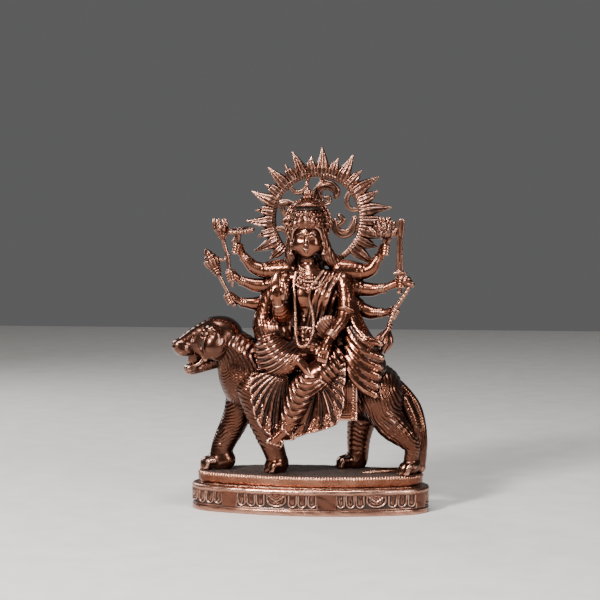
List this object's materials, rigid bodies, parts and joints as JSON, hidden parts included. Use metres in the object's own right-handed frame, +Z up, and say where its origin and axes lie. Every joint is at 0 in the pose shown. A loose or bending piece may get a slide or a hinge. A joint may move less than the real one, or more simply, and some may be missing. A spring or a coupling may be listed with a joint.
{
  "type": "deity statuette",
  "caption": "Cast copper-finish statuette of an eight-armed goddess seated on a walking lion, on an oval moulded plinth with a sunburst halo.",
  "frame": {"origin": "centre of the plinth's resting face", "axes": "+Z up; -Y is the front, where the goddess looks; the lion walks towards -X"},
  "size_m": [0.1672, 0.062, 0.2378],
  "materials": {
    "plinth_copper": "aged copper plate, rubbed satin",
    "deck_copper": "dark patina, matt stippled",
    "lion_copper": "aged copper plate, polished high spots",
    "cloth_copper": "aged copper plate, polished high spots",
    "skin_copper": "polished aged copper",
    "hair_copper": "dark patina with rubbed highlights",
    "ornament_copper": "aged copper plate, beaded",
    "attribute_copper": "aged copper plate",
    "halo_copper": "aged copper plate with dark grooves",
    "bright_copper": "rubbed bright copper",
    "cover_paint": "matt black paint",
    "steel_fixings": "plain zinc-grey steel"
  },
  "bodies": {
    "root": {"base_cover": "cover_paint", "plinth_base": "plinth_copper", "plinth_deck": "deck_copper", "deck_screws": "steel_fixings", "paw_pins": "steel_fixings", "lion_body": "lion_copper", "lion_eyes": "bright_copper", "lion_head": "lion_copper", "lion_lower_jaw": "lion_copper", "lion_front_leg_right": "lion_copper", "lion_front_leg_left": "lion_copper", "lion_hind_leg_right": "lion_copper", "lion_hind_leg_left": "lion_copper", "lion_tail": "lion_copper", "saddle_cloth": "cloth_copper", "torso": "skin_copper", "head": "skin_copper", "hair": "hair_copper", "crown": "ornament_copper", "crown_finial": "ornament_copper", "crown_rosette": "ornament_copper", "earrings": "ornament_copper", "necklace": "ornament_copper", "garland": "ornament_copper", "belt": "ornament_copper", "folded_leg": "cloth_copper", "hanging_leg": "cloth_copper", "skirt_fan_right": "cloth_copper", "skirt_fan_left": "cloth_copper", "shawl": "cloth_copper", "arm_blessing": "skin_copper", "arm_resting": "skin_copper", "arm_right_upper": "skin_copper", "arm_right_middle": "skin_copper", "arm_right_lower": "skin_copper", "arm_left_upper": "skin_copper", "arm_left_middle": "skin_copper", "arm_left_lower": "skin_copper", "bangles": "ornament_copper", "armlets": "ornament_copper", "chakra": "attribute_copper", "flower_staff": "attribute_copper", "mace": "attribute_copper", "staff_strut": "attribute_copper", "lotus": "attribute_copper", "sword": "attribute_copper", "trident": "attribute_copper", "halo_ring": "halo_copper", "halo_rays_long": "halo_copper", "halo_rays_short": "halo_copper", "halo_scroll_crest": "halo_copper", "halo_scroll_eye": "halo_copper", "halo_scroll_left": "halo_copper", "halo_scroll_right": "halo_copper", "halo_scroll_tie": "halo_copper", "halo_bracket": "halo_copper", "halo_screws": "steel_fixings"}
  },
  "joints": []
}
